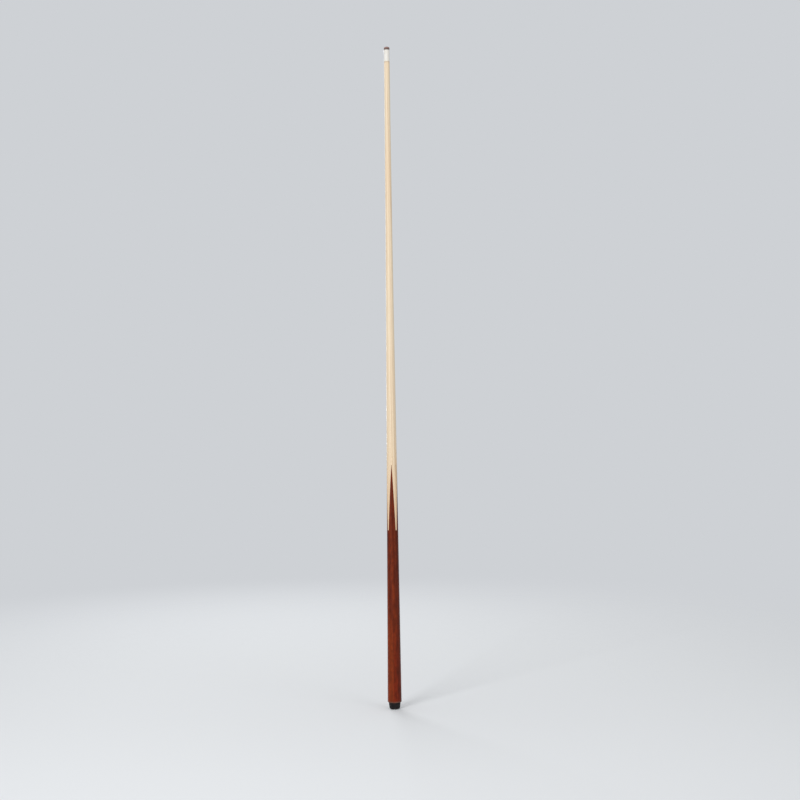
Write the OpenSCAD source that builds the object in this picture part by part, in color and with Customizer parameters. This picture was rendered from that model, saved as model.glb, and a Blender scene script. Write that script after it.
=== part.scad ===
// One-piece pool cue with a full splice, standing on its bumper.
// The origin is at the middle of the bumper's foot and +Z runs up the cue to the tip.

/* [Cue] */
// Length of the whole cue, from the bumper's foot to the crown of the tip
cue_length = 1448; // [1300:1:1520]

/* [Tip] */
// Radius of the leather's dome
tip_dome_r = 9; // [8:0.1:14]
// Height of the leather's straight side, under the dome
tip_side = 3.7; // [1:0.1:6]
// Thickness of the fibre pad under the leather
pad_thickness = 1.2; // [0.5:0.1:2]

/* [Ferrule] */
// Diameter of the ferrule, and of the tip and pad that are trimmed flush with it
ferrule_d = 12.2; // [11:0.1:13.5]
// Length of the ferrule
ferrule_length = 26; // [15:0.1:32]
// Thickness of the ferrule's closed end, above the tenon
ferrule_cap = 5; // [2:0.1:8]
// Diameter of the tenon that fills the ferrule's bore
tenon_d = 8; // [6:0.1:9]

/* [Shaft] */
// Length below the ferrule over which the taper steepens
taper_run = 550; // [300:1:650]
// Diameter at the foot of that stretch, where the straight taper begins
taper_d = 17.1; // [16:0.1:19]

/* [Splice] */
// Length of the splice, from the blunt maple prongs to the sharp dark points
splice_length = 143; // [100:1:180]
// Width of a maple prong at its blunt end, which is the width of the saw cut it fills
prong_width = 2.8; // [1:0.1:5]
// Width of a dark point at its sharp end
point_width = 0.4; // [0.2:0.1:1]

/* [Butt] */
// Length of plain butt, from its end to the blunt maple prongs
butt_length = 376; // [300:1:450]
// Diameter of the butt at its end
butt_d = 30.4; // [28:0.1:32]
// Radius of the rounded edge at the butt's end
butt_edge_r = 1.6; // [0.5:0.1:2]

/* [Weight] */
// Diameter of the hole that holds the lead weight and its plug
weight_d = 11.1; // [9:0.1:12]
// Length of the lead weight
weight_length = 130; // [40:1:160]
// Wood left in the plug above the point of the screw
plug_cover = 5; // [2:0.5:20]

/* [Bumper] */
// Height of the bumper
bumper_height = 15; // [12:0.1:20]
// Diameter of the bumper where it meets the butt
bumper_d = 26; // [24:0.1:26.5]
// Diameter of the bumper's foot, before its edge is rounded
bumper_foot_d = 22.8; // [21:0.1:24]
// Radius of the rounded edge at the bumper's foot
bumper_edge_r = 3.6; // [0.5:0.1:4]
// Rubber between the washer and the butt
bumper_web = 6; // [3:0.1:7]

/* [Screw and washer] */
// Diameter of the screw over its thread
screw_d = 4.8; // [3.5:0.1:5.5]
// Length of the screw under its head
screw_length = 38; // [28:0.5:50]
// Length of the screw's tapered point
screw_point = 8; // [4:0.5:12]
// Diameter of the screw's round head
screw_head_d = 9; // [8:0.1:9.5]
// Height of the screw's round head
screw_head_height = 3.2; // [2.5:0.1:4]
// Width of the screwdriver slot
slot_width = 1.2; // [0.8:0.1:1.6]
// Depth of the screwdriver slot
slot_depth = 1.6; // [1:0.1:2]
// Outer diameter of the washer
washer_d = 10.4; // [10:0.1:11]
// Thickness of the washer
washer_thickness = 1.2; // [0.8:0.1:1.6]
// Gap between the screw and its hole in the washer and bumper, all round
screw_clearance = 0.25; // [0.1:0.05:0.4]
// Gap between the washer and the bumper's recess, all round
washer_clearance = 0.3; // [0.1:0.05:0.5]

/* [Hidden] */
$fn = 96;

// Straight pieces that the tapered outline is drawn with, along its curved stretch
taper_steps = 20;
// Straight pieces in a rounded edge
edge_steps = 8;
// Length by which a cutting shape runs past the surface that it cuts
overshoot = 1;
// Share of the screw's thread diameter that its point keeps at its end
point_share = 0.15;

// Heights of the pieces above the bumper's foot
butt_z = bumper_height;
prong_z = butt_z + butt_length;
point_z = prong_z + splice_length;
dome_height = tip_dome_r - sqrt(pow(tip_dome_r, 2) - pow(ferrule_d / 2, 2));
tip_z = cue_length - dome_height - tip_side;
pad_z = tip_z - pad_thickness;
ferrule_z = pad_z - ferrule_length;
tenon_length = ferrule_length - ferrule_cap;
taper_z = ferrule_z - taper_run;

// The washer sits under the bumper's web, and the screw's head under the washer
washer_z = bumper_height - bumper_web - washer_thickness;
recess_depth = bumper_height - bumper_web;
recess_d = washer_d + 2 * washer_clearance;
screw_hole_d = screw_d + 2 * screw_clearance;

// The plug covers the screw's bite, and the lead weight lies on top of the plug
screw_bite = screw_length - washer_thickness - bumper_web;
plug_length = screw_bite + plug_cover;
weight_z = butt_z + plug_length;

// Slope of the straight taper, and the bend of the curved stretch that leaves it smoothly
taper_slope = (butt_d - taper_d) / (taper_z - butt_z);
taper_bend = (ferrule_d - taper_d + taper_slope * taper_run) / pow(taper_run, 2);

// Diameter of the wood at a height above the bumper's foot
function wood_d(z) =
    let (rise = z - taper_z)
    taper_d - taper_slope * rise + (rise > 0 ? taper_bend * pow(rise, 2) : 0);

// Distance of a dark point's inner edge from the axis at its sharp end, where it has its stated width
point_depth_r = sqrt(pow(wood_d(point_z) / 2, 2) - pow(point_width / 2, 2)) - point_width / 2;
// Radius that the shapes of the splice reach to, past the wood's surface
splice_reach = butt_d / 2 + overshoot;

// Half the thickness of a maple blade at a height, which grows from the prongs to the dark points' ends
function blade_half(z) =
    let (rise_share = (z - prong_z) / splice_length)
    prong_width / 2 + (point_depth_r / sqrt(2) - prong_width / 2) * rise_share;

// Points of an arc around a centre, from one angle to another
function arc(centre, r, from, to) =
    [for (i = [0:edge_steps]) let (a = from + (to - from) * i / edge_steps)
        [centre[0] + r * cos(a), centre[1] + r * sin(a)]];

// Points on the side of the turned wood between two heights, with the whole cue's taper
function wood_side(from_z, to_z) =
    let (curve_z = [for (i = [0:taper_steps]) taper_z + taper_run * i / taper_steps],
         between = [for (z = curve_z) if (z > from_z && z < to_z) z])
    [for (z = concat([from_z], between, [to_z])) [wood_d(z) / 2, z]];

// One maple blade through the cue's axis, thickening upwards from a height to above the splice
module blade(from_z) {
    to_z = point_z + overshoot;
    rotate([90, 0, 0])
        linear_extrude(height = 2 * (splice_reach + overshoot), center = true)
            polygon([[-blade_half(from_z), from_z], [blade_half(from_z), from_z],
                     [blade_half(to_z), to_z], [-blade_half(to_z), to_z]]);
}

// The two crossed blades of the splice, whose four edges are the maple prongs
module crossed_blades(from_z) {
    rotate([0, 0, 45]) blade(from_z);
    rotate([0, 0, -45]) blade(from_z);
}

// The four dark points that the crossed saw cuts leave, as they are taken out of the maple
module dark_points() {
    foot_z = prong_z - overshoot;
    difference() {
        translate([0, 0, foot_z])
            cylinder(h = point_z - foot_z, r = splice_reach);
        crossed_blades(foot_z - overshoot);
    }
}

// Shank of the screw with its tapered point, from the washer upwards
module screw_shank() {
    translate([0, 0, washer_z])
        cylinder(h = screw_length - screw_point, d = screw_d);
    translate([0, 0, washer_z + screw_length - screw_point])
        cylinder(h = screw_point, d1 = screw_d, d2 = screw_d * point_share);
}

module tip() {
    color([0.47, 0.38, 0.35])
        intersection() {
            translate([0, 0, tip_z])
                cylinder(h = tip_side + dome_height + overshoot, d = ferrule_d);
            translate([0, 0, cue_length - tip_dome_r])
                sphere(r = tip_dome_r);
        }
}

module tip_pad() {
    color([0.2, 0.12, 0.1])
        translate([0, 0, pad_z])
            cylinder(h = pad_thickness, d = ferrule_d);
}

module ferrule() {
    color([0.92, 0.89, 0.85])
        difference() {
            translate([0, 0, ferrule_z])
                cylinder(h = ferrule_length, d = ferrule_d);
            translate([0, 0, ferrule_z - overshoot])
                cylinder(h = tenon_length + overshoot, d = tenon_d);
        }
}

// Maple blank, turned with its taper and the ferrule's tenon
module turned_shaft() {
    tenon = [[tenon_d / 2, ferrule_z], [tenon_d / 2, ferrule_z + tenon_length]];
    rotate_extrude()
        polygon(concat([[0, prong_z]], wood_side(prong_z, ferrule_z), tenon,
                       [[0, ferrule_z + tenon_length]]));
}

module shaft() {
    color([0.9, 0.8, 0.69])
        difference() {
            turned_shaft();
            dark_points();
        }
}

// Dark blank, turned with its taper and the rounded edge at its end
module turned_butt() {
    edge_z = butt_z + butt_edge_r;
    edge_x = wood_d(edge_z) / 2 - butt_edge_r;
    edge = arc([edge_x, edge_z], butt_edge_r, -90, 0);
    // The side starts where the edge's arc ends
    below_side = [for (i = [0:edge_steps - 1]) edge[i]];
    rotate_extrude()
        polygon(concat([[0, butt_z]], below_side, wood_side(edge_z, point_z), [[0, point_z]]));
}

module butt() {
    color([0.4, 0.17, 0.1])
        difference() {
            turned_butt();
            crossed_blades(prong_z);
            translate([0, 0, butt_z - overshoot])
                cylinder(h = plug_length + weight_length + overshoot, d = weight_d);
        }
}

module weight_slug() {
    color([0.45, 0.46, 0.48])
        translate([0, 0, weight_z])
            cylinder(h = weight_length, d = weight_d);
}

module weight_plug() {
    color([0.75, 0.6, 0.42])
        difference() {
            translate([0, 0, butt_z])
                cylinder(h = plug_length, d = weight_d);
            screw_shank();
        }
}

// Side of the bumper from its foot to the butt, with a rounded lower edge
module bumper_outline() {
    foot_r = bumper_foot_d / 2;
    lean = atan((bumper_d / 2 - foot_r) / bumper_height);
    // The edge's arc touches the foot and the leaning side
    edge_x = foot_r + bumper_edge_r * (tan(lean) - 1 / cos(lean));
    edge = arc([edge_x, bumper_edge_r], bumper_edge_r, -90, -lean);
    polygon(concat([[0, 0]], edge, [[bumper_d / 2, bumper_height], [0, bumper_height]]));
}

module bumper() {
    color([0.13, 0.11, 0.11])
        difference() {
            rotate_extrude() bumper_outline();
            translate([0, 0, -overshoot])
                cylinder(h = recess_depth + overshoot, d = recess_d);
            translate([0, 0, -overshoot])
                cylinder(h = bumper_height + 2 * overshoot, d = screw_hole_d);
        }
}

module bumper_washer() {
    color([0.7, 0.71, 0.72])
        translate([0, 0, washer_z])
            difference() {
                cylinder(h = washer_thickness, d = washer_d);
                translate([0, 0, -overshoot])
                    cylinder(h = washer_thickness + 2 * overshoot, d = screw_hole_d);
            }
}

// Round head whose flat side bears on the washer
module screw_head() {
    // Radius of the ball whose cap has the head's diameter and height
    ball_r = (pow(screw_head_d / 2, 2) + pow(screw_head_height, 2)) / (2 * screw_head_height);
    intersection() {
        translate([0, 0, washer_z - screw_head_height])
            cylinder(h = screw_head_height, d = screw_head_d);
        translate([0, 0, washer_z - screw_head_height + ball_r])
            sphere(r = ball_r);
    }
}

module bumper_screw() {
    color([0.72, 0.73, 0.74]) {
        difference() {
            screw_head();
            translate([-screw_head_d, -slot_width / 2, washer_z - screw_head_height - overshoot])
                cube([2 * screw_head_d, slot_width, slot_depth + overshoot]);
        }
        screw_shank();
    }
}

tip();
tip_pad();
ferrule();
shaft();
butt();
weight_slug();
weight_plug();
bumper();
bumper_washer();
bumper_screw();
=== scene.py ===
"""Full-splice pool cue: the turned wood, its white ferrule, leather tip and rubber bumper."""
import math

import bmesh
import bpy
from mathutils import Color, Matrix, Vector, noise


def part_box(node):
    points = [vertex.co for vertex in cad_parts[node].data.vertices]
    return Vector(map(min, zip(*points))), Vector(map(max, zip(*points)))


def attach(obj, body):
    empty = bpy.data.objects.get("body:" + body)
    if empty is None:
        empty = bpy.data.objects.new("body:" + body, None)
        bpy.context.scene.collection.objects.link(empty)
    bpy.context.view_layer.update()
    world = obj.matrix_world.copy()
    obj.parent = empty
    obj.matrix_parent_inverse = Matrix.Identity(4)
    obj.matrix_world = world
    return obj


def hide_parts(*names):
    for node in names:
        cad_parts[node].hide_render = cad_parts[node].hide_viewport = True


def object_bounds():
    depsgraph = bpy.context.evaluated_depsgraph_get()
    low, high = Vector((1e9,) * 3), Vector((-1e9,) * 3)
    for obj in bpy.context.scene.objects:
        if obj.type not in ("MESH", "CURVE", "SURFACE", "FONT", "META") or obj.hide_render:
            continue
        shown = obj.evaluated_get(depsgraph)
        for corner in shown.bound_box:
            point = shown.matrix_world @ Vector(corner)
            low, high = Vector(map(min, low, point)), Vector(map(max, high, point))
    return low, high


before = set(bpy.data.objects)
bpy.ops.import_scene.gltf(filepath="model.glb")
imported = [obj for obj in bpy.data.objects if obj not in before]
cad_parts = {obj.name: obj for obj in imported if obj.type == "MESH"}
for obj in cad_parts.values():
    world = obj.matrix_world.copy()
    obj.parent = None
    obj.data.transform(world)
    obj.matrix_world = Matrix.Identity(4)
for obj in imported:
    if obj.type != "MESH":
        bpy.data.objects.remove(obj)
CAD_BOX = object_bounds()

bl_info = {
    "name": "Full-splice pool cue",
    "version": (1, 0, 0),
    "blender": (4, 5, 0),
    "location": "View3D > Sidebar > Pool cue",
    "description": "Models the pieces of a one-piece pool cue round its packed frame",
    "category": "Add Mesh",
}

# Turning and cutting: steps in a full turn, and lengths in metres.
TURN_STEPS = 128
RING_STEP = 0.008
SAME_PLACE = 1e-6
ON_RIM = 1e-5
CUT_OVERSHOOT = 0.001
SHARP_ANGLE = math.radians(35)
DIAGONAL = Matrix.Rotation(math.radians(45), 3, "Z")

# The leather: rings on its side and dome, and the waves of its nap to a metre.
LEATHER_SIDE_STEPS = 10
LEATHER_DOME_STEPS = 18
NAP_WAVES = 900
NAP_ROUGHNESS = 0.6
NAP_LACUNARITY = 2.0
NAP_OCTAVES = 3

# The screw: rings on its head, steps in a turn of its thread, half of the thread's foot as a share
# of the pitch, and the shares of the length above the head that are plain shank and point.
HEAD_STEPS = 10
THREAD_STEPS = 32
THREAD_FOOT = 0.36
PLAIN_SHARE = 0.3
POINT_SHARE = 0.2

# The stage: the round floor, the distances over which it fades, and each light's name, power
# property, place and size.
FLOOR_RADIUS = 3.0
FLOOR_SIDES = 96
FADE_START = 0.5
FADE_END = 2.4
LIGHTS = (
    ("key_light", "key_power", (-1.25, -2.7, 1.55), (1.1, 2.4)),
    ("fill_light", "fill_power", (2.1, -1.8, 1.2), (1.4, 2.2)),
    ("back_light", "back_power", (-1.1, 2.7, 1.5), (1.4, 2.2)),
)

# Places of the colour sockets on a Mix node.
MIX_FACTOR = 0
MIX_FIRST = 6
MIX_SECOND = 7
MIX_RESULT = 2


def length(name, description, default):
    """A length in metres that the user can change."""
    return bpy.props.FloatProperty(
        name=name,
        description=description,
        default=default,
        min=0.0,
        precision=5,
        subtype="DISTANCE",
        unit="LENGTH",
    )


def colour(name, description, red, green, blue):
    """A colour that the user can change, from its display values of 0 to 255."""
    return bpy.props.FloatVectorProperty(
        name=name,
        description=description,
        default=(red / 255, green / 255, blue / 255),
        size=3,
        min=0.0,
        max=1.0,
        subtype="COLOR_GAMMA",
    )


def power(name, description, default):
    """A light's power in watts that the user can change."""
    return bpy.props.FloatProperty(
        name=name, description=description, default=default, min=0.0, unit="POWER"
    )


def angle(name, description, degrees):
    """An angle that the user can change, from its value in degrees."""
    return bpy.props.FloatProperty(
        name=name, description=description, default=math.radians(degrees), subtype="ANGLE"
    )


class CueSizes(bpy.types.PropertyGroup):
    """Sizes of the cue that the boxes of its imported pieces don't give."""

    taper_run: length("Taper run", "Length below the ferrule over which the taper steepens", 0.550)
    taper_diameter: length("Taper diameter", "Diameter where the straight taper begins", 0.0171)
    butt_diameter: length("Butt diameter", "Diameter of the butt at its end", 0.0304)
    butt_edge: length("Butt edge", "Radius of the rounded edge at the butt's end", 0.0016)
    prong_width: length("Prong width", "Width of a maple prong at its blunt end", 0.0028)
    point_width: length("Point width", "Width of a dark point at its sharp end", 0.0004)
    tenon_diameter: length("Tenon diameter", "Diameter of the tenon inside the ferrule", 0.008)
    tenon_length: length("Tenon length", "Length of the tenon inside the ferrule", 0.021)
    weight_hole: length("Weight hole", "Diameter of the hole drilled for the weight", 0.0111)
    seam: length("Seam", "Width of the eased edges where two pieces meet", 0.00018)
    soft_edge: length("Soft edge", "Width of the eased edges of leather and rubber", 0.00054)
    leather_side: length("Leather side", "Height of the leather's side, under its dome", 0.0037)
    leather_bulge: length("Leather bulge", "How far the leather's side swells", 0.00008)
    leather_nap: length("Leather nap", "Depth of the leather's roughened surface", 0.00006)
    bumper_foot: length("Bumper foot", "Diameter of the bumper's side, carried down to its foot", 0.0228)
    bumper_edge: length("Bumper edge", "Radius of the rounded edge round the bumper's foot", 0.0036)
    recess_diameter: length("Recess diameter", "Diameter of the recess for the bumper's screw", 0.011)
    screw_hole: length("Screw hole", "Diameter of the hole through the bumper and its washer", 0.0053)
    screw_core: length("Screw core", "Diameter of the screw under its thread", 0.0034)
    screw_diameter: length("Screw diameter", "Diameter of the screw's shank and of its thread", 0.0048)
    thread_pitch: length("Thread pitch", "Rise of the screw's thread in one turn", 0.0021)
    head_height: length("Head height", "Height of the screw's round head", 0.0032)
    slot_width: length("Slot width", "Width of the slot in the screw's head", 0.0012)
    slot_depth: length("Slot depth", "Depth of the slot in the screw's head", 0.0016)


class CueFinish(bpy.types.PropertyGroup):
    """Colours of the cue's finishes."""

    maple: colour("Maple", "Pale early wood of the shaft", 234, 216, 187)
    maple_warm: colour("Warm maple", "Browner drifts, and wood towards the shaft's ends", 230, 196, 158)
    maple_line: colour("Maple growth line", "Late wood that ends each growth layer", 201, 162, 120)
    maple_streak: colour("Maple streak", "Mineral streaks and ray flecks", 176, 132, 92)
    glue: colour("Glue line", "Glue that shows along the splice", 96, 60, 38)
    butt: colour("Butt wood", "Body colour of the dark hardwood", 99, 34, 12)
    butt_dark: colour("Butt dark figure", "Dark stripes and pores of the hardwood", 57, 17, 7)
    # Colour of the light figure, and of the painted highlight band low on the side facing the key light.
    butt_light_and_highlight: colour("Butt light figure", "Orange-brown stripes of the hardwood", 129, 51, 15)
    butt_red: colour("Butt red", "Redder wood towards the butt's end", 117, 30, 8)
    # Paler, greyer colour mixed in round the butt's lower edge.
    butt_rim_tone: colour("Butt rim", "Worn and dusty wood round the butt's lower edge", 106, 84, 72)
    ferrule: colour("Ferrule", "White plastic of the ferrule", 230, 227, 221)
    ferrule_aged: colour("Aged ferrule", "Yellowed plastic towards the wood", 228, 219, 198)
    leather_crown: colour("Leather crown", "Scuffed crown of the tip", 162, 127, 120)
    leather_side: colour("Leather side", "Burnished side of the tip", 104, 80, 72)
    fibre: colour("Fibre", "Pad under the tip", 66, 42, 37)
    rubber: colour("Rubber", "Moulded rubber of the bumper", 19, 16, 17)
    rubber_scuff: colour("Rubber scuff", "Dusty wear on the bumper", 92, 85, 80)
    zinc: colour("Zinc", "Plating on the screw and washer", 196, 198, 200)
    lead: colour("Lead", "Dull weight inside the butt", 118, 120, 126)
    dowel: colour("Dowel", "Bare wood of the plug", 198, 160, 112)


class CueStage(bpy.types.PropertyGroup):
    """Floor, background, light and camera round the cue."""

    floor: colour("Floor", "Pale floor under the cue", 238, 241, 244)
    background: colour("Background", "Pale background that the floor fades into", 206, 209, 213)
    key_power: power("Key light", "Power of the large soft light", 49.0)
    fill_power: power("Fill light", "Power of the weaker light opposite", 13.0)
    back_power: power("Back light", "Power of the soft light behind the cue", 36.0)
    ambient: bpy.props.FloatProperty(
        name="Ambient",
        description="Strength of the even light from all round",
        default=0.5,
        min=0.0,
        subtype="FACTOR",
    )
    view_angle: angle("View angle", "Angle of view of the camera", 31.7)
    roll: angle("Roll", "Turn of the camera about its line of sight", 0.71)
    turn: angle("Turn", "How far round the cue the camera stands", 5.0)
    eye_distance: length("Eye distance", "Distance of the camera from the cue", 3.082)
    eye_height: length("Eye height", "Height of the camera above the floor", 0.675)
    eye_shift: length("Eye shift", "How far the camera stands to the right of the cue", 0.0197)


def heights(node):
    """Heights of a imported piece's foot and top."""
    low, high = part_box(node)
    return low.z, high.z


def outer_radius(node):
    """Largest radius of a packed round piece."""
    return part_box(node)[1].x


class Cue:
    """Heights and radii of the cue, in metres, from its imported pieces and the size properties."""

    def __init__(self, sizes):
        self.sizes = sizes
        self.foot, self.point_end = heights("butt")
        self.prong_end = heights("shaft")[0]
        self.ferrule_low, self.ferrule_high = heights("ferrule")
        self.ferrule_radius = outer_radius("ferrule")
        self.bend_start = self.ferrule_low - sizes.taper_run
        spread = sizes.butt_diameter - sizes.taper_diameter
        self.slope = spread / (self.bend_start - self.foot)
        end_gap = 2 * self.ferrule_radius - sizes.taper_diameter + self.slope * sizes.taper_run
        self.bend = end_gap / sizes.taper_run**2
        half = sizes.point_width / 2
        depth = math.sqrt(self.wood_radius(self.point_end) ** 2 - half**2) - half
        self.blade_top = depth / math.sqrt(2)

    def wood_radius(self, height):
        """Radius of the turned wood at a height."""
        rise = height - self.bend_start
        bent = self.bend * rise**2 if rise > 0 else 0.0
        return (self.sizes.taper_diameter - self.slope * rise + bent) / 2

    def wood_side(self, low, high):
        """Outline of the turned wood between two heights, ring by ring."""
        count = math.ceil((high - low) / RING_STEP)
        rings = [low + (high - low) * step / count for step in range(count + 1)]
        return [(self.wood_radius(height), height) for height in rings]

    def blade_half(self, height):
        """Half of the thickness of a maple blade in the splice at a height."""
        share = (height - self.prong_end) / (self.point_end - self.prong_end)
        blunt = self.sizes.prong_width / 2
        return blunt + (self.blade_top - blunt) * share


def tidied(shape):
    """The same bmesh with its doubles merged and its faces turned outwards."""
    bmesh.ops.remove_doubles(shape, verts=shape.verts, dist=SAME_PLACE)
    bmesh.ops.recalc_face_normals(shape, faces=shape.faces)
    return shape


def turned(outline, ring=False):
    """A bmesh turned about the cue's axis from (radius, height) points; a ring's outline is closed."""
    shape = bmesh.new()
    points = [shape.verts.new((radius, 0, height)) for radius, height in outline]
    ends = points[1:] + points[:1] if ring else points[1:]
    lines = [shape.edges.new(pair) for pair in zip(points, ends)]
    bmesh.ops.spin(
        shape,
        geom=points + lines,
        cent=(0, 0, 0),
        axis=(0, 0, 1),
        angle=math.tau,
        steps=TURN_STEPS,
        use_merge=True,
    )
    return tidied(shape)


def eased(shape, rims, width, segments=3):
    """The turned bmesh with the edges that run through the (radius, height) rims rounded."""

    def on_rim(vert, rim):
        off_radius = math.hypot(vert.co.x, vert.co.y) - rim[0]
        return abs(off_radius) < ON_RIM and abs(vert.co.z - rim[1]) < ON_RIM

    def runs_round(edge):
        return any(all(on_rim(vert, rim) for vert in edge.verts) for rim in rims)

    bmesh.ops.bevel(
        shape,
        geom=[edge for edge in shape.edges if runs_round(edge)],
        offset=width,
        offset_type="OFFSET",
        affect="EDGES",
        segments=segments,
        profile=0.5,
        material=-1,
    )
    return tidied(shape)


def add_block(shape, corner_place):
    """Adds a block whose corners lie where corner_place puts the signs of a cube's corners."""
    for corner in bmesh.ops.create_cube(shape, size=2)["verts"]:
        corner.co = corner_place(*corner.co)


def loose_object(shape, name):
    """An object in the scene with the bmesh as its mesh; the bmesh is used up."""
    mesh = bpy.data.meshes.new(name)
    shape.to_mesh(mesh)
    shape.free()
    made = bpy.data.objects.new(name, mesh)
    bpy.context.scene.collection.objects.link(made)
    return made


def combined(shape, other, operation):
    """One bmesh made of two by a boolean operation; both are used up."""
    whole = loose_object(shape, "whole")
    tool = loose_object(tidied(other), "tool")
    step = whole.modifiers.new("step", "BOOLEAN")
    step.operation = operation
    step.solver = "EXACT"
    step.object = tool
    made = bmesh.new()
    made.from_object(whole, bpy.context.evaluated_depsgraph_get())
    for used in (whole, tool):
        mesh = used.data
        bpy.data.objects.remove(used)
        bpy.data.meshes.remove(mesh)
    return tidied(made)


def cut_away(shape, cutter):
    """The shape without the space that the cutter fills."""
    return combined(shape, cutter, "DIFFERENCE")


def add_piece(shape, name, material, node):
    """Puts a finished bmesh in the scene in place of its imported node."""
    piece = loose_object(shape, name)
    piece.data.materials.append(material)
    piece.data.shade_smooth()
    piece.data.set_sharp_from_angle(angle=SHARP_ANGLE)
    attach(piece, "root")
    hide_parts(node)


def linear(shown):
    """A display colour as the linear colour that a shader takes."""
    return (*Color(shown).from_srgb_to_scene_linear(), 1.0)


class Shader:
    """A new material with a Principled surface, and short calls for the nodes that the finishes use."""

    def __init__(self, name):
        self.material = bpy.data.materials.new(name)
        self.material.use_nodes = True
        self.tree = self.material.node_tree
        self.tree.nodes.clear()
        self.surface = self.tree.nodes.new("ShaderNodeBsdfPrincipled")
        self.output = self.tree.nodes.new("ShaderNodeOutputMaterial")
        self.tree.links.new(self.surface.outputs["BSDF"], self.output.inputs["Surface"])
        self.point = self.tree.nodes.new("ShaderNodeTexCoord").outputs["Object"]

    def feed(self, socket, value):
        """Links an input to a socket, or sets the input's own value."""
        if isinstance(value, bpy.types.NodeSocket):
            self.tree.links.new(value, socket)
        else:
            socket.default_value = value

    def node(self, kind, inputs, **settings):
        """A node of that kind, with its inputs fed and its settings made."""
        made = self.tree.nodes.new(kind)
        for name, value in settings.items():
            setattr(made, name, value)
        for name, value in inputs.items():
            self.feed(made.inputs[name], value)
        return made

    def set(self, **values):
        """Feeds the surface's inputs, named with underscores for spaces."""
        for name, value in values.items():
            self.feed(self.surface.inputs[name.replace("_", " ")], value)

    def axes(self):
        """The object's three coordinates."""
        return self.node("ShaderNodeSeparateXYZ", {"Vector": self.point}).outputs

    def stretched(self, across, along, turn=(0, 0, 0), shift=(0, 0, 0)):
        """The object's coordinates, turned by degrees, then scaled across and along the cue's axis."""
        angles = [math.radians(degrees) for degrees in turn]
        turning = {"Vector": self.point, "Rotation": angles}
        turned_point = self.node("ShaderNodeMapping", turning).outputs[0]
        scaling = {"Vector": turned_point, "Scale": (across, across, along), "Location": shift}
        return self.node("ShaderNodeMapping", scaling).outputs[0]

    def grain(self, across, along, detail=2.0, roughness=0.5, turn=(0, 0, 0), shift=(0, 0, 0)):
        """Noise of so many waves a metre across the cue's axis and along it."""
        place = self.stretched(across, along, turn, shift)
        inputs = {"Vector": place, "Scale": 1.0, "Detail": detail, "Roughness": roughness}
        return self.node("ShaderNodeTexNoise", inputs).outputs[0]

    def layers(self, place, scale, distortion, detail_scale, profile="SAW", direction="X"):
        """Bands such as growth layers, bent by noise."""
        inputs = {
            "Vector": place,
            "Scale": scale,
            "Distortion": distortion,
            "Detail": 2.0,
            "Detail Scale": detail_scale,
        }
        settings = {"bands_direction": direction, "wave_profile": profile}
        return self.node("ShaderNodeTexWave", inputs, **settings).outputs["Fac"]

    def calc(self, operation, first, second=0.0, clamp=False):
        """The result of a Math node on two values or sockets."""
        inputs = {0: first, 1: second}
        return self.node("ShaderNodeMath", inputs, operation=operation, use_clamp=clamp).outputs[0]

    def times(self, first, second):
        """The product of two values or sockets."""
        return self.calc("MULTIPLY", first, second)

    def plus(self, first, second, clamp=False):
        """The sum of two values or sockets."""
        return self.calc("ADD", first, second, clamp)

    def minus(self, first, second):
        """The difference of two values or sockets."""
        return self.calc("SUBTRACT", first, second)

    def ramp(self, value, low, high, start=0.0, end=1.0, easing="SMOOTHSTEP"):
        """The value carried from start at low to end at high, and held beyond them."""
        inputs = {"Value": value, "From Min": low, "From Max": high, "To Min": start, "To Max": end}
        return self.node("ShaderNodeMapRange", inputs, interpolation_type=easing).outputs[0]

    def mix(self, factor, first, second, blend="MIX"):
        """Two colours mixed by a factor."""
        inputs = {MIX_FACTOR: factor, MIX_FIRST: first, MIX_SECOND: second}
        settings = {"data_type": "RGBA", "blend_type": blend}
        return self.node("ShaderNodeMix", inputs, **settings).outputs[MIX_RESULT]

    def shade(self, tone, colours):
        """The colour multiplied by a grey tone."""
        inputs = {"Red": tone, "Green": tone, "Blue": tone}
        grey = self.node("ShaderNodeCombineColor", inputs).outputs[0]
        return self.mix(1.0, colours, grey, "MULTIPLY")

    def bump(self, height, depth, strength=1.0):
        """Sets the surface's bump from a height of 0 to 1 and its depth in metres."""
        inputs = {"Height": height, "Distance": depth, "Strength": strength}
        self.set(Normal=self.node("ShaderNodeBump", inputs).outputs[0])


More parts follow.
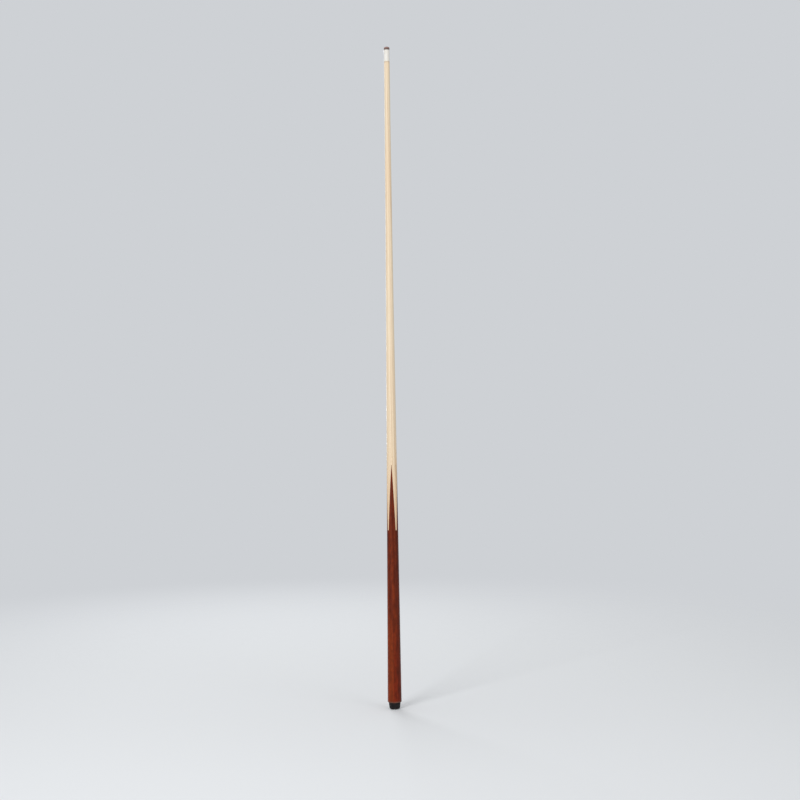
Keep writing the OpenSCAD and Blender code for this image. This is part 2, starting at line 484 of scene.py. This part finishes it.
def maple_finish(finish, cue):
    """Satin-lacquered maple: growth lines, fibres, flecks, a few streaks and the splice's glue."""
    wood = Shader("maple_satin")
    x, y, z = wood.axes()
    drift = wood.grain(across=30, along=2.0)
    warmth = wood.ramp(drift, 0.42, 0.72, end=0.5)
    near_ferrule = wood.ramp(z, cue.ferrule_low - 0.05, cue.ferrule_low, end=0.15)
    lower_half = wood.ramp(z, cue.point_end + 0.2, cue.point_end + 0.36, start=0.2, end=0.0)
    splice = wood.ramp(z, cue.prong_end, cue.point_end + 0.06, start=0.7, end=0.0)
    for stretch in (near_ferrule, lower_half, splice):
        warmth = wood.plus(warmth, stretch, clamp=True)
    tone = wood.mix(warmth, linear(finish.maple), linear(finish.maple_warm))

    lay = wood.stretched(across=1000, along=26, turn=(0.5, 0.65, 24))
    late = wood.ramp(wood.layers(lay, scale=0.085, distortion=2.6, detail_scale=0.7), 0.58, 1.0)
    faint_patch = wood.grain(across=160, along=3.0, shift=(4, 1, 2))
    faint = wood.ramp(faint_patch, 0.35, 0.68, start=0.12, end=0.6)
    tone = wood.mix(wood.times(late, faint), tone, linear(finish.maple_line))

    mineral = wood.grain(across=420, along=4.5, detail=3.0, shift=(0, 7, 3))
    streak = wood.ramp(mineral, 0.66, 0.8, end=0.4)
    fleck = wood.ramp(wood.grain(across=2600, along=240, detail=1.0), 0.66, 0.76, end=0.3)
    tone = wood.mix(wood.calc("MAXIMUM", streak, fleck), tone, linear(finish.maple_streak))
    fibre = wood.grain(across=2100, along=34, detail=4.0, roughness=0.6)
    tone = wood.shade(wood.ramp(fibre, 0.25, 0.75, start=0.93, end=1.05), tone)

    joint = glue_line(wood, cue, x, y, z)
    tone = wood.mix(joint, tone, linear(finish.glue))
    grime = wood.ramp(wood.minus(cue.ferrule_low, z), 0.0, 0.0025, start=0.55, end=0.0)
    tone = wood.mix(grime, tone, linear(finish.maple_streak))
    polish = wood.plus(wood.ramp(drift, 0.3, 0.7, start=0.34, end=0.42), wood.times(late, 0.06))
    wood.set(Base_Color=tone, Roughness=polish)
    wood.set(Specular_IOR_Level=0.4, Coat_Weight=0.12, Coat_Roughness=0.24)
    wood.bump(wood.minus(fibre, wood.times(fleck, 0.6)), depth=0.00003, strength=0.5)
    return wood.material


def glue_line(wood, cue, x, y, z):
    """How strongly the glue shows on the maple, close to the faces of the splice."""
    blade = wood.ramp(
        z,
        cue.prong_end,
        cue.point_end,
        start=cue.blade_half(cue.prong_end),
        end=cue.blade_half(cue.point_end),
        easing="LINEAR",
    )
    between = wood.minus(wood.calc("ABSOLUTE", x), wood.calc("ABSOLUTE", y))
    from_middle = wood.times(wood.calc("ABSOLUTE", between), math.sqrt(0.5))
    beside = wood.minus(blade, from_middle)
    above = wood.minus(z, cue.prong_end)
    joint = wood.ramp(wood.calc("MINIMUM", beside, above), 0.00003, 0.0002, start=0.65, end=0.0)
    return wood.times(joint, wood.calc("LESS_THAN", z, cue.point_end))


def butt_finish(finish, cue):
    """Lacquered dark hardwood: mottle, stripes and pores, a painted highlight band low down on the side
    facing the key light, painted shade on the side away from it, and a paler rim.
    """
    wood = Shader("dark_hardwood_gloss")
    x, y, z = wood.axes()
    dark_wood = linear(finish.butt_dark)
    ribbon = wood.grain(across=150, along=3.2, detail=3.0, turn=(0.4, 0.8, 0))
    stripe = wood.grain(across=620, along=12.0, detail=4.0, roughness=0.62, turn=(0.3, 0.5, 0))
    mottle = wood.grain(across=130, along=34.0, detail=3.0, roughness=0.55, shift=(3, 1, 5))
    ripple = wood.grain(across=150, along=95, detail=3.0, shift=(6, 2, 9))
    low_end = wood.ramp(z, cue.foot, cue.foot + 0.24, start=0.85, end=0.0)
    red = wood.times(low_end, wood.ramp(mottle, 0.3, 0.62))
    tone = wood.mix(red, linear(finish.butt), linear(finish.butt_red))

    # Painted highlight: a lighter band low down on the side facing the key light, broken up by the
    # ribbon figure.
    key_light_side = Vector((-0.63, -0.78)) / cue.wood_radius(cue.foot)
    toward_key_light = wood.plus(wood.times(x, key_light_side.x), wood.times(y, key_light_side.y))
    lit_band = wood.ramp(wood.plus(toward_key_light, wood.times(ribbon, 0.4)), 0.82, 1.12, end=0.8)
    lit_band_height = wood.ramp(z, cue.foot + 0.14, cue.foot + 0.23, start=1.0, end=0.0)
    light = wood.ramp(wood.plus(ribbon, wood.times(mottle, 0.35)), 0.62, 0.86, end=0.42)
    # Paler wood: the light ribbon figure, with the painted highlight band laid over it.
    pale = wood.calc("MAXIMUM", light, wood.times(lit_band, lit_band_height))
    tone = wood.mix(pale, tone, linear(finish.butt_light_and_highlight))
    dark = wood.ramp(wood.minus(stripe, wood.times(ribbon, 0.35)), 0.34, 0.52, end=0.34)
    tone = wood.mix(dark, tone, dark_wood)

    lay = wood.stretched(across=1000, along=34, turn=(0.8, 0.6, 62))
    growth = wood.layers(lay, scale=0.12, distortion=3.4, detail_scale=0.8)
    tone = wood.mix(wood.ramp(growth, 0.62, 1.0, end=0.2), tone, dark_wood)
    hollow = wood.grain(across=2300, along=130, detail=1.5, shift=(2, 8, 1))
    pore = wood.ramp(hollow, 0.6, 0.7, end=0.55)
    tone = wood.mix(pore, tone, dark_wood)
    fibre = wood.grain(across=1700, along=45, detail=3.0, roughness=0.6)
    tone = wood.shade(wood.ramp(fibre, 0.25, 0.75, start=0.88, end=1.1), tone)
    tone = wood.shade(wood.ramp(mottle, 0.3, 0.7, start=0.86, end=1.14), tone)
    tone = wood.shade(wood.ramp(ripple, 0.3, 0.7, start=0.88, end=1.12), tone)
    # Painted shade: the wood is darkened on the side turned away from the key light.
    tone = wood.shade(wood.ramp(toward_key_light, 0.0, 0.95, start=0.82, end=1.03), tone)

    # A paler, greyer colour mixed in round the butt's lower edge, broken up by the ripple.
    rim = wood.ramp(z, cue.foot + 0.0006, cue.foot + 0.0045, start=0.7, end=0.0)
    patches = wood.times(rim, wood.ramp(ripple, 0.3, 0.6, start=0.6))
    tone = wood.mix(patches, tone, linear(finish.butt_rim_tone))
    wood.set(Base_Color=tone, Roughness=wood.ramp(mottle, 0.3, 0.7, start=0.3, end=0.4))
    wood.set(Specular_IOR_Level=0.1, Coat_Weight=0.05, Coat_Roughness=0.2)
    wood.bump(wood.minus(fibre, wood.times(pore, 1.4)), depth=0.00004, strength=0.5)
    return wood.material


def ferrule_finish(finish, cue):
    """Polished white plastic, yellowed towards the wood, with faint turning marks and scuffs."""
    plastic = Shader("ferrule_plastic")
    z = plastic.axes()[2]
    cloud = plastic.grain(across=420, along=160, detail=3.0)
    scuff = plastic.ramp(plastic.grain(across=900, along=2600, detail=3.0), 0.62, 0.74, end=0.35)
    near_wood = plastic.ramp(z, cue.ferrule_low, cue.ferrule_low + 0.004, start=0.8, end=0.0)
    aged = plastic.plus(near_wood, plastic.ramp(cloud, 0.4, 0.75, end=0.3), clamp=True)
    tone = plastic.mix(aged, linear(finish.ferrule), linear(finish.ferrule_aged))
    tone = plastic.mix(scuff, tone, linear(finish.maple_warm))
    gloss = plastic.ramp(cloud, 0.3, 0.7, start=0.24, end=0.34)
    plastic.set(Base_Color=tone, Roughness=plastic.plus(gloss, plastic.times(scuff, 0.4)))
    lay = plastic.stretched(across=60, along=1000)
    marks = plastic.layers(
        lay, scale=1.4, distortion=1.2, detail_scale=1.5, profile="SIN", direction="Z"
    )
    plastic.bump(plastic.minus(marks, plastic.times(scuff, 1.5)), depth=0.000004, strength=0.5)
    return plastic.material


def leather_finish(finish, cue):
    """Pressed leather: a scuffed pale crown over a dark burnished side."""
    leather = Shader("leather_pressed")
    z = leather.axes()[2]
    brow = heights("tip")[0] + cue.sizes.leather_side
    felt = leather.grain(across=1500, along=1500, detail=5.0, roughness=0.65)
    blotch = leather.grain(across=330, along=330, detail=3.0)
    uneven = leather.times(leather.minus(blotch, 0.5), 0.0012)
    crown = leather.ramp(leather.plus(z, uneven), brow - 0.0024, brow - 0.001)
    tone = leather.mix(crown, linear(finish.leather_side), linear(finish.leather_crown))
    patches = leather.times(crown, leather.ramp(blotch, 0.45, 0.68, end=0.5))
    tone = leather.mix(patches, tone, linear(finish.leather_side))
    tone = leather.shade(leather.ramp(felt, 0.25, 0.75, start=0.72, end=1.22), tone)
    leather.set(Base_Color=tone, Roughness=leather.ramp(crown, 0.0, 1.0, start=0.42, end=0.88))
    leather.bump(felt, depth=0.00012, strength=0.8)
    return leather.material


def fibre_finish(finish):
    """Dark vulcanised fibre, built up in thin layers."""
    fibre = Shader("tip_pad_fibre")
    lay = fibre.stretched(across=90, along=1000)
    ply = fibre.layers(
        lay, scale=1.0, distortion=0.8, detail_scale=1.2, profile="SIN", direction="Z"
    )
    speck = fibre.grain(across=1900, along=2600, detail=3.0)
    tone = fibre.shade(fibre.ramp(ply, 0.1, 0.9, start=0.78, end=1.12), linear(finish.fibre))
    tone = fibre.shade(fibre.ramp(speck, 0.3, 0.7, start=0.8, end=1.2), tone)
    fibre.set(Base_Color=tone, Roughness=fibre.ramp(speck, 0.3, 0.7, start=0.42, end=0.6))
    fibre.bump(ply, depth=0.00002, strength=0.6)
    return fibre.material


def rubber_finish(finish):
    """Moulded black rubber, dusty and scuffed round its foot."""
    rubber = Shader("bumper_rubber")
    z = rubber.axes()[2]
    skin = rubber.grain(across=1600, along=1600, detail=4.0, roughness=0.6)
    dust = rubber.grain(across=210, along=260, detail=4.0)
    foot = rubber.ramp(z, 0.0002, 0.0045, start=0.7, end=0.08)
    scuff = rubber.times(foot, rubber.ramp(dust, 0.38, 0.66))
    tone = rubber.mix(scuff, linear(finish.rubber), linear(finish.rubber_scuff))
    tone = rubber.shade(rubber.ramp(skin, 0.25, 0.75, start=0.8, end=1.2), tone)
    sheen = rubber.ramp(dust, 0.3, 0.7, start=0.46, end=0.6)
    rubber.set(Base_Color=tone, Roughness=rubber.plus(sheen, rubber.times(scuff, 0.3)))
    rubber.set(Specular_IOR_Level=0.15)
    rubber.bump(skin, depth=0.00005, strength=0.6)
    return rubber.material


def metal_finish(name, shown, roughness, mottle):
    """A plain metal, mottled in tone and polish."""
    metal = Shader(name)
    bloom = metal.grain(across=380, along=300, detail=4.0)
    brush = metal.grain(across=2400, along=5200, detail=2.0)
    tone = metal.ramp(bloom, 0.3, 0.7, start=1.0 - mottle, end=1.0 + mottle)
    polish = metal.ramp(bloom, 0.3, 0.7, start=roughness - 0.11, end=roughness + 0.05)
    polish = metal.plus(polish, metal.times(brush, 0.06))
    metal.set(Base_Color=metal.shade(tone, linear(shown)), Metallic=1.0, Roughness=polish)
    metal.bump(metal.plus(brush, bloom), depth=0.00002, strength=0.5)
    return metal.material


def dowel_finish(finish):
    """Bare straight-grained wood of the plug."""
    wood = Shader("dowel_bare")
    lay = wood.stretched(across=1000, along=40, turn=(0.6, 1.0, 15))
    growth = wood.layers(lay, scale=0.1, distortion=2.0, detail_scale=0.8)
    late = wood.ramp(growth, 0.5, 1.0, end=0.5)
    fibre = wood.grain(across=1900, along=60, detail=3.0)
    tone = wood.mix(late, linear(finish.dowel), linear(finish.maple_streak))
    tone = wood.shade(wood.ramp(fibre, 0.25, 0.75, start=0.85, end=1.1), tone)
    wood.set(Base_Color=tone, Roughness=wood.ramp(fibre, 0.2, 0.8, start=0.6, end=0.78))
    wood.bump(fibre, depth=0.00005, strength=0.6)
    return wood.material


def sizes_and_finish(context):
    """The scene's size and finish properties."""
    return context.scene.cue_sizes, context.scene.cue_finish


class CUE_OT_tip(bpy.types.Operator):
    """Press the domed leather tip and cut the fibre pad under it"""

    bl_idname = "cue.tip"
    bl_label = "Tip and pad"

    def execute(self, context):
        sizes, finish = sizes_and_finish(context)
        cue = Cue(sizes)
        leather = self.leather(sizes, cue.ferrule_radius)
        add_piece(leather, "tip_leather", leather_finish(finish, cue), "tip")
        low, high = heights("tip_pad")
        radius = cue.ferrule_radius
        pad = turned([(0, low), (radius, low), (radius, high), (0, high)])
        pad = eased(pad, [(radius, low), (radius, high)], sizes.seam)
        add_piece(pad, "tip_pad_fibre", fibre_finish(finish), "tip_pad")
        return {"FINISHED"}

    def leather(self, sizes, radius):
        """The leather: a slightly swollen side, a softened brow and a roughened dome."""
        low, high = heights("tip")
        brow = low + sizes.leather_side
        dome_height = high - brow
        dome_radius = (radius**2 + dome_height**2) / (2 * dome_height)
        outline = [(0, low)]
        for step in range(LEATHER_SIDE_STEPS + 1):
            share = step / LEATHER_SIDE_STEPS
            swell = sizes.leather_bulge * math.sin(math.pi * share)
            outline.append((radius + swell, low + sizes.leather_side * share))
        reach = math.asin(radius / dome_radius)
        for step in range(1, LEATHER_DOME_STEPS + 1):
            lean = reach * (1 - step / LEATHER_DOME_STEPS)
            drop = dome_radius * (1 - math.cos(lean))
            outline.append((dome_radius * math.sin(lean), high - drop))
        leather = eased(turned(outline), [(radius, low)], sizes.seam)
        leather = eased(leather, [(radius, brow)], sizes.soft_edge, segments=4)
        for vert in leather.verts:
            if vert.co.z > low + sizes.seam:
                nap = noise.fractal(vert.co * NAP_WAVES, NAP_ROUGHNESS, NAP_LACUNARITY, NAP_OCTAVES)
                vert.co += vert.normal * sizes.leather_nap * nap
        bmesh.ops.recalc_face_normals(leather, faces=leather.faces)
        return leather


class CUE_OT_ferrule(bpy.types.Operator):
    """Turn the white ferrule with its blind bore"""

    bl_idname = "cue.ferrule"
    bl_label = "Ferrule"

    def execute(self, context):
        sizes, finish = sizes_and_finish(context)
        cue = Cue(sizes)
        low, high = cue.ferrule_low, cue.ferrule_high
        radius = cue.ferrule_radius
        bore = sizes.tenon_diameter / 2
        bore_end = low + sizes.tenon_length
        rims = [(radius, low), (radius, high)]
        outline = [(0, bore_end), (bore, bore_end), (bore, low), *rims, (0, high)]
        ferrule = eased(turned(outline), rims, sizes.seam)
        material = ferrule_finish(finish, cue)
        add_piece(ferrule, "ferrule_sleeve", material, "ferrule")
        return {"FINISHED"}


class CUE_OT_shaft(bpy.types.Operator):
    """Turn the maple shaft and cut its foot into two crossed blades for the splice"""

    bl_idname = "cue.shaft"
    bl_label = "Shaft"

    def execute(self, context):
        sizes, finish = sizes_and_finish(context)
        cue = Cue(sizes)
        tenon = sizes.tenon_diameter / 2
        tenon_end = cue.ferrule_low + sizes.tenon_length
        outline = [(0, cue.prong_end), *cue.wood_side(cue.prong_end, cue.ferrule_low)]
        outline += [(tenon, cue.ferrule_low), (tenon, tenon_end), (0, tenon_end)]
        shaft = eased(turned(outline), [(cue.ferrule_radius, cue.ferrule_low)], sizes.seam)
        shaft = cut_away(shaft, self.points(cue))
        add_piece(shaft, "shaft_maple", maple_finish(finish, cue), "shaft")
        return {"FINISHED"}

    def points(self, cue):
        """The space of the four dark points, between the crossed blades."""
        low = cue.prong_end - CUT_OVERSHOOT
        reach = 2 * cue.wood_radius(low)
        space = bmesh.new()
        for side in (-1, 1):
            for front in (-1, 1):

                def corner_place(across, through, up):
                    height = cue.point_end if up > 0 else low
                    near = cue.blade_half(height)
                    sideways = reach if across > 0 else near
                    forward = reach if through > 0 else near
                    return DIAGONAL @ Vector((side * sideways, front * forward, height))

                add_block(space, corner_place)
        return space


class CUE_OT_butt(bpy.types.Operator):
    """Turn the dark butt, drill it for the weight and saw its end into four points"""

    bl_idname = "cue.butt"
    bl_label = "Butt"

    def execute(self, context):
        sizes, finish = sizes_and_finish(context)
        cue = Cue(sizes)
        hole = sizes.weight_hole / 2
        hole_end = heights("weight_slug")[1]
        rim = sizes.butt_diameter / 2
        outline = [(0, hole_end), (hole, hole_end), (hole, cue.foot)]
        outline += [*cue.wood_side(cue.foot, cue.point_end), (0, cue.point_end)]
        butt = eased(turned(outline), [(rim, cue.foot)], sizes.butt_edge, segments=6)
        for second in (False, True):
            butt = cut_away(butt, self.saw_cut(cue, second))
        add_piece(butt, "butt_hardwood", butt_finish(finish, cue), "butt")
        return {"FINISHED"}

    def saw_cut(self, cue, second):
        """The space of one of the two crossed saw cuts that part the four points."""
        high = cue.point_end + CUT_OVERSHOOT
        reach = 2 * cue.wood_radius(cue.prong_end)

        def corner_place(across, through, up):
            height = high if up > 0 else cue.prong_end
            spot = (across * cue.blade_half(height), through * reach)
            return DIAGONAL @ Vector((*(reversed(spot) if second else spot), height))

        cut = bmesh.new()
        add_block(cut, corner_place)
        return cut


class CUE_OT_bumper(bpy.types.Operator):
    """Mould the rubber bumper with its screw recess"""

    bl_idname = "cue.bumper"
    bl_label = "Bumper"

    def execute(self, context):
        sizes, finish = sizes_and_finish(context)
        low, high = heights("bumper")
        top = outer_radius("bumper")
        foot = sizes.bumper_foot / 2
        recess = sizes.recess_diameter / 2
        hole = sizes.screw_hole / 2
        web = heights("bumper_washer")[1]
        outline = [(recess, low), (foot, low), (top, high), (hole, high), (hole, web), (recess, web)]
        bumper = eased(turned(outline, ring=True), [(foot, low)], sizes.bumper_edge, segments=8)
        bumper = eased(bumper, [(top, high), (recess, low)], sizes.soft_edge)
        add_piece(bumper, "bumper_rubber", rubber_finish(finish), "bumper")
        return {"FINISHED"}


class CUE_OT_fixing(bpy.types.Operator):
    """Make the slotted screw and the washer that hold the bumper"""

    bl_idname = "cue.fixing"
    bl_label = "Bumper screw and washer"

    def execute(self, context):
        sizes, finish = sizes_and_finish(context)
        zinc = metal_finish("zinc_plate", finish.zinc, roughness=0.34, mottle=0.1)
        low, high = heights("bumper_washer")
        outer = outer_radius("bumper_washer")
        inner = sizes.screw_hole / 2
        rims = [(inner, low), (outer, low), (outer, high), (inner, high)]
        washer = eased(turned(rims, ring=True), rims, sizes.seam)
        add_piece(washer, "bumper_washer_steel", zinc, "bumper_washer")
        screw = cut_away(self.blank(sizes, low), self.driver_slot(sizes))
        screw = combined(screw, self.thread(sizes, low), "UNION")
        add_piece(screw, "bumper_screw_steel", zinc, "bumper_screw")
        return {"FINISHED"}

    def blank(self, sizes, seat):
        """The screw without slot and thread: round head, plain shank, core and point."""
        low, high = heights("bumper_screw")
        head = outer_radius("bumper_screw")
        cap = (head**2 + sizes.head_height**2) / (2 * sizes.head_height)
        reach = math.asin(head / cap)
        outline = []
        for step in range(HEAD_STEPS + 1):
            lean = reach * step / HEAD_STEPS
            outline.append((cap * math.sin(lean), low + cap * (1 - math.cos(lean))))
        shank = sizes.screw_diameter / 2
        core = sizes.screw_core / 2
        start, end = self.thread_span(seat)
        outline += [(shank, seat), (shank, start - core / 2), (core, start), (core, end), (0, high)]
        return eased(turned(outline), [(head, seat)], sizes.seam)

    def thread_span(self, seat):
        """Heights at which the thread begins and ends."""
        high = heights("bumper_screw")[1]
        return seat + PLAIN_SHARE * (high - seat), high - POINT_SHARE * (high - seat)

    def driver_slot(self, sizes):
        """The space of the slot across the head."""
        low = heights("bumper_screw")[0]
        reach = 2 * outer_radius("bumper_screw")

        def corner_place(along, across, up):
            height = low + sizes.slot_depth if up > 0 else low - CUT_OVERSHOOT
            return (along * reach, across * sizes.slot_width / 2, height)

        slot = bmesh.new()
        add_block(slot, corner_place)
        return slot

    def thread(self, sizes, seat):
        """The thread's ridge, wound round the core."""
        start, end = self.thread_span(seat)
        root = sizes.screw_core / 2 - sizes.seam
        crest = sizes.screw_diameter / 2
        half = sizes.thread_pitch * THREAD_FOOT
        turns = (end - start) / sizes.thread_pitch - 1
        steps = round(turns * THREAD_STEPS)
        middle = start + half
        flanks = ((root, -half), (crest, -sizes.seam), (crest, sizes.seam), (root, half))
        ridge = bmesh.new()
        section = ridge.faces.new(
            [ridge.verts.new((radius, 0, middle + rise)) for radius, rise in flanks]
        )
        bmesh.ops.spin(
            ridge,
            geom=[section, *section.edges, *section.verts],
            cent=(0, 0, 0),
            axis=(0, 0, 1),
            dvec=(0, 0, sizes.thread_pitch * turns / steps),
            angle=math.tau * turns,
            steps=steps,
        )
        return ridge


class CUE_OT_weight(bpy.types.Operator):
    """Finish the lead weight and the wooden plug inside the butt"""

    bl_idname = "cue.weight"
    bl_label = "Weight and plug"

    def execute(self, context):
        finish = context.scene.cue_finish
        finishes = {
            "weight_slug": metal_finish("lead_dull", finish.lead, roughness=0.55, mottle=0.2),
            "weight_plug": dowel_finish(finish),
        }
        for node, material in finishes.items():
            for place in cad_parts[node].material_slots:
                place.material = material
        return {"FINISHED"}


class CUE_OT_stage(bpy.types.Operator):
    """Set the pale floor, the background, the soft lights and the camera"""

    bl_idname = "cue.stage"
    bl_label = "Stage"

    def execute(self, context):
        scene = context.scene
        stage = scene.cue_stage
        self.make_floor(stage)
        self.make_world(scene, stage)
        for name, power_name, place, size in LIGHTS:
            self.add_light(scene, name, getattr(stage, power_name), place, size)
        self.make_camera(scene, stage)
        scene.view_settings.view_transform = "Standard"
        return {"FINISHED"}

    def make_floor(self, stage):
        """A round floor that keeps the shadow near the cue and fades into the background."""
        shape = bmesh.new()
        bmesh.ops.create_circle(shape, cap_ends=True, segments=FLOOR_SIDES, radius=FLOOR_RADIUS)
        floor = loose_object(shape, "floor")
        paper = Shader("floor_pale")
        paper.tree.nodes.remove(paper.surface)
        x, y = paper.axes()[:2]
        distance = paper.calc("SQRT", paper.plus(paper.times(x, x), paper.times(y, y)))
        fade = paper.ramp(distance, FADE_START, FADE_END)
        matt = paper.node("ShaderNodeBsdfDiffuse", {"Color": linear(stage.floor)}).outputs[0]
        clear = paper.node("ShaderNodeBsdfTransparent", {}).outputs[0]
        mixed = paper.node("ShaderNodeMixShader", {0: fade, 1: matt, 2: clear}).outputs[0]
        paper.tree.links.new(mixed, paper.output.inputs["Surface"])
        floor.data.materials.append(paper.material)

    def make_world(self, scene, stage):
        """Even light all round, and the pale background for what the camera sees."""
        world = bpy.data.worlds.new("studio")
        scene.world = world
        world.use_nodes = True
        nodes = world.node_tree.nodes
        links = world.node_tree.links
        nodes.clear()
        even = nodes.new("ShaderNodeBackground")
        even.inputs["Strength"].default_value = stage.ambient
        even.inputs["Color"].default_value = (1.0, 1.0, 1.0, 1.0)
        shown = nodes.new("ShaderNodeBackground")
        shown.inputs["Color"].default_value = linear(stage.background)
        path = nodes.new("ShaderNodeLightPath")
        seen = path.outputs["Is Camera Ray"]
        for ray in ("Is Glossy Ray", "Is Transmission Ray"):
            either = nodes.new("ShaderNodeMath")
            either.operation = "MAXIMUM"
            links.new(seen, either.inputs[0])
            links.new(path.outputs[ray], either.inputs[1])
            seen = either.outputs[0]
        mixed = nodes.new("ShaderNodeMixShader")
        links.new(seen, mixed.inputs[0])
        links.new(even.outputs[0], mixed.inputs[1])
        links.new(shown.outputs[0], mixed.inputs[2])
        output = nodes.new("ShaderNodeOutputWorld")
        links.new(mixed.outputs[0], output.inputs["Surface"])

    def add_light(self, scene, name, watts, place, size):
        """A tall soft light aimed at the middle of the cue."""
        lamp = bpy.data.lights.new(name, "AREA")
        lamp.shape = "RECTANGLE"
        lamp.size, lamp.size_y = size
        lamp.energy = watts
        light = bpy.data.objects.new(name, lamp)
        light.location = place
        middle = (CAD_BOX[0] + CAD_BOX[1]) / 2
        light.rotation_euler = (middle - Vector(place)).to_track_quat("-Z", "Y").to_euler()
        scene.collection.objects.link(light)

    def make_camera(self, scene, stage):
        """A level camera in front of the cue."""
        lens = bpy.data.cameras.new("camera")
        lens.angle = stage.view_angle
        camera = bpy.data.objects.new("camera", lens)
        stand = Vector((stage.eye_shift, -stage.eye_distance, stage.eye_height))
        camera.location = Matrix.Rotation(stage.turn, 3, "Z") @ stand
        camera.rotation_euler = (math.pi / 2, stage.roll, stage.turn)
        scene.collection.objects.link(camera)
        scene.camera = camera


OPERATORS = (
    CUE_OT_tip,
    CUE_OT_ferrule,
    CUE_OT_shaft,
    CUE_OT_butt,
    CUE_OT_bumper,
    CUE_OT_fixing,
    CUE_OT_weight,
    CUE_OT_stage,
)


class CUE_PT_panel(bpy.types.Panel):
    """Sizes, colours and pieces of the cue"""

    bl_idname = "CUE_PT_panel"
    bl_label = "Pool cue"
    bl_space_type = "VIEW_3D"
    bl_region_type = "UI"
    bl_category = "Pool cue"

    def draw(self, context):
        for operator in OPERATORS:
            self.layout.operator(operator.bl_idname)
        scene = context.scene
        for group in (scene.cue_sizes, scene.cue_finish, scene.cue_stage):
            box = self.layout.box()
            for name in group.__annotations__:
                box.prop(group, name)


CLASSES = (CueSizes, CueFinish, CueStage, *OPERATORS, CUE_PT_panel)


def register():
    """Registers the classes and hangs the properties on the scene."""
    for item in CLASSES:
        bpy.utils.register_class(item)
    bpy.types.Scene.cue_sizes = bpy.props.PointerProperty(type=CueSizes)
    bpy.types.Scene.cue_finish = bpy.props.PointerProperty(type=CueFinish)
    bpy.types.Scene.cue_stage = bpy.props.PointerProperty(type=CueStage)


def unregister():
    """Takes the properties off the scene and the classes out of Blender."""
    del bpy.types.Scene.cue_stage
    del bpy.types.Scene.cue_finish
    del bpy.types.Scene.cue_sizes
    for item in reversed(CLASSES):
        bpy.utils.unregister_class(item)


def main():
    register()
    bpy.ops.cue.tip()
    bpy.ops.cue.ferrule()
    bpy.ops.cue.shaft()
    bpy.ops.cue.butt()
    bpy.ops.cue.bumper()
    bpy.ops.cue.fixing()
    bpy.ops.cue.weight()
    bpy.ops.cue.stage()


if __name__ == "__main__":
    main()
